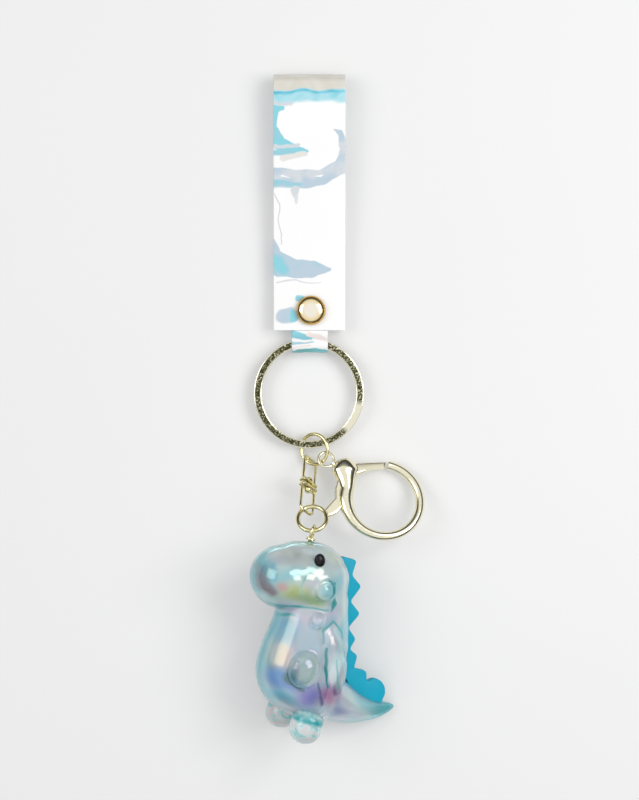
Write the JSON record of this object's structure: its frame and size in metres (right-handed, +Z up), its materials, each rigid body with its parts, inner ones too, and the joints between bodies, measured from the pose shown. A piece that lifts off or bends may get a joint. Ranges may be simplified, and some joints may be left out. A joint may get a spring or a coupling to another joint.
{
  "type": "keychain",
  "caption": "Keychain with a film wrist strap, split ring, swivel link, lobster clasp and hollow plastic dinosaur charm with a spiked crest.",
  "frame": {"origin": "centre of the flat back face of the strap's rivet, on the table plane", "axes": "+Y along the strap from the rivet to its fold, +Z up from the table, +X to the clasp's side"},
  "size_m": [0.0473, 0.1797, 0.0279],
  "materials": {
    "film": "clear iridescent film",
    "rivet_gold": "polished deep gold plating",
    "split_ring_gold": "hammered pale gold plating",
    "ring_gold": "polished pale gold plating",
    "clasp_gold": "polished champagne gold plating",
    "link_gold": "polished pale gold plating",
    "spring_steel": "plain spring wire",
    "clear_plastic": "clear plastic with an iridescent coating",
    "turquoise_plastic": "matte turquoise",
    "black_bead": "glossy black"
  },
  "bodies": {
    "strap": {"strap_loop": "film", "ring_tab": "film", "rivet_back": "rivet_gold", "rivet_cap": "rivet_gold"},
    "ring": {"split_ring": "split_ring_gold"},
    "upper_jump": {"upper_jump_ring": "ring_gold"},
    "clasp": {"clasp_body": "clasp_gold", "clasp_pin": "clasp_gold", "clasp_spring": "spring_steel"},
    "gate": {"clasp_gate": "clasp_gold"},
    "upper_link": {"upper_bail": "link_gold"},
    "lower_link": {"lower_bail": "link_gold", "swivel_rivet": "link_gold"},
    "lower_jump": {"lower_jump_ring": "ring_gold"},
    "charm": {"screw_eye": "link_gold", "shell_left": "clear_plastic", "shell_right": "clear_plastic", "foot_left": "clear_plastic", "foot_right": "clear_plastic", "back_crest": "turquoise_plastic", "eye_left": "black_bead", "eye_right": "black_bead"}
  },
  "joints": [
    {"name": "ring_fold", "type": "hinge", "parent": "strap", "child": "ring", "pos_m": [0, -0.0091, 0.00323], "axis": [-1, 0, 0], "range_deg": [0, 75]},
    {"name": "ring_travel", "type": "hinge", "parent": "ring", "child": "upper_jump", "pos_m": [-0.00055, -0.02255, 0.00323], "axis": [0, 0, 1], "range_deg": [-60, 60]},
    {"name": "clasp_swing", "type": "hinge", "parent": "upper_jump", "child": "clasp", "pos_m": [0.00383, -0.04033, 0.00476], "axis": [-0.4511, -0.7018, 0.5514], "range_deg": [0, 30]},
    {"name": "gate_open", "type": "hinge", "parent": "clasp", "child": "gate", "pos_m": [0.00932, -0.04373, 0.00512], "axis": [-0.1728, -0.3762, -0.9103], "range_deg": [0, 12], "stiffness_Nm_per_rad": 0.01, "springref_deg": -17.19},
    {"name": "link_swing", "type": "hinge", "parent": "upper_jump", "child": "upper_link", "pos_m": [-0.00023, -0.04169, 0.00235], "axis": [-0.8218, 0.3454, -0.4532], "range_deg": [0, 60]},
    {"name": "swivel_spin", "type": "hinge", "parent": "upper_link", "child": "lower_link", "pos_m": [-0.00014, -0.0406, 0.00139], "axis": [-0.06, -0.751, 0.6575], "continuous": true},
    {"name": "lower_ring_swing", "type": "hinge", "parent": "lower_link", "child": "lower_jump", "pos_m": [-0.00124, -0.05431, 0.0134], "axis": [-0.6807, 0.5126, 0.5234], "range_deg": [0, 20]},
    {"name": "charm_swing", "type": "hinge", "parent": "lower_jump", "child": "charm", "pos_m": [0.0006, -0.05918, 0.01685], "axis": [-0.9973, -0.074, 0], "range_deg": [0, 45]}
  ]
}
